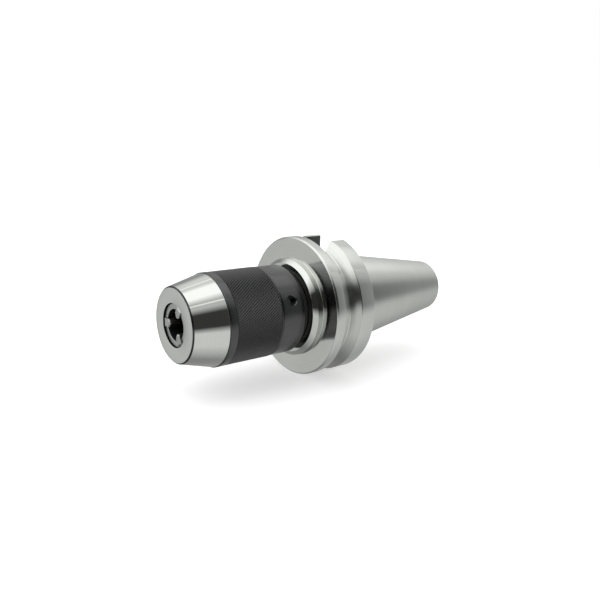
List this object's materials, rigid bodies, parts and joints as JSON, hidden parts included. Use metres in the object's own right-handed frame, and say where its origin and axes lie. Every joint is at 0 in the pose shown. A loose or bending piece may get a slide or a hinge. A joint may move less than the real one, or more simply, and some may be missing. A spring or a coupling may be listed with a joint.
{
  "type": "drill chuck",
  "caption": "Keyless self-tightening three-jaw drill chuck built in one with a 7:24 taper tool shank; turning the sleeve opens and closes the jaws.",
  "frame": {"origin": "on the tool axis at the gauge plane of the taper, where its diameter is 69.85 mm", "axes": "X is the tool axis, +X towards the small end of the taper and -X towards the nose; +Z points to one drive slot of the flange, with the part lying level"},
  "size_m": [0.2347, 0.1, 0.1],
  "materials": {
    "ground_steel": "ground, satin, fine lines round the axis",
    "bright_steel": "finely ground, bright",
    "machined_steel": "turned, lightly oiled",
    "hardened_steel": "hardened and ground",
    "guide_steel": "hardened, satin",
    "jaw_steel": "hardened and ground, satin",
    "bearing_steel": "polished",
    "black_oxide": "black oxide on turned steel, satin",
    "black_knurl": "black oxide on a fine diamond knurl",
    "black_rubber": "matt black nitrile",
    "cage_brass": "turned"
  },
  "bodies": {
    "root": {"taper_shank": "ground_steel", "core_body": "machined_steel", "core_lock_pin_1": "hardened_steel", "core_lock_pin_2": "hardened_steel", "dust_seal": "black_rubber", "bearing_race_front": "bearing_steel"},
    "sleeve": {"rear_collar": "black_oxide", "wiper_ring": "black_rubber", "bearing_race_rear": "bearing_steel", "knurled_sleeve": "black_knurl", "nose_hood": "bright_steel", "jaw_guide": "guide_steel"},
    "spindle": {"drive_spindle": "hardened_steel"},
    "jaw_1": {"jaw_1": "jaw_steel"},
    "jaw_2": {"jaw_2": "jaw_steel"},
    "jaw_3": {"jaw_3": "jaw_steel"},
    "cage": {"ball_cage": "cage_brass", "bearing_ball_01": "bearing_steel", "bearing_ball_02": "bearing_steel", "bearing_ball_03": "bearing_steel", "bearing_ball_04": "bearing_steel", "bearing_ball_05": "bearing_steel", "bearing_ball_06": "bearing_steel", "bearing_ball_07": "bearing_steel", "bearing_ball_08": "bearing_steel", "bearing_ball_09": "bearing_steel", "bearing_ball_10": "bearing_steel", "bearing_ball_11": "bearing_steel", "bearing_ball_12": "bearing_steel", "bearing_ball_13": "bearing_steel", "bearing_ball_14": "bearing_steel"}
  },
  "joints": [
    {"name": "sleeve_turn", "type": "hinge", "parent": "root", "child": "sleeve", "pos_m": [-0.09, 0, 0], "axis": [1, 0, 0], "range_deg": [-1318, 1663]},
    {"name": "spindle_advance", "type": "slide", "parent": "sleeve", "child": "spindle", "axis": [-1, 0, 0], "range_m": [-0.01465, 0.0185]},
    {"name": "ball_cage_turn", "type": "hinge", "parent": "root", "child": "cage", "pos_m": [-0.0581, 0, 0], "axis": [1, 0, 0], "range_deg": [-660, 832]},
    {"name": "jaw_1_slide", "type": "slide", "parent": "sleeve", "child": "jaw_1", "axis": [-0.9613, -0.2753, 0.0144], "range_m": [-0.01525, 0.01924]},
    {"name": "jaw_2_slide", "type": "slide", "parent": "sleeve", "child": "jaw_2", "axis": [-0.9613, 0.1251, -0.2456], "range_m": [-0.01525, 0.01924]},
    {"name": "jaw_3_slide", "type": "slide", "parent": "sleeve", "child": "jaw_3", "axis": [-0.9613, 0.1501, 0.2312], "range_m": [-0.01525, 0.01924]}
  ],
  "couplings": [
    {"joint": "spindle_advance", "follows": "sleeve_turn", "m_per_rad": 0.00063662},
    {"joint": "ball_cage_turn", "follows": "sleeve_turn", "ratio": 0.5},
    {"joint": "jaw_1_slide", "follows": "sleeve_turn", "m_per_rad": 0.00066228},
    {"joint": "jaw_2_slide", "follows": "sleeve_turn", "m_per_rad": 0.00066228},
    {"joint": "jaw_3_slide", "follows": "sleeve_turn", "m_per_rad": 0.00066228}
  ]
}
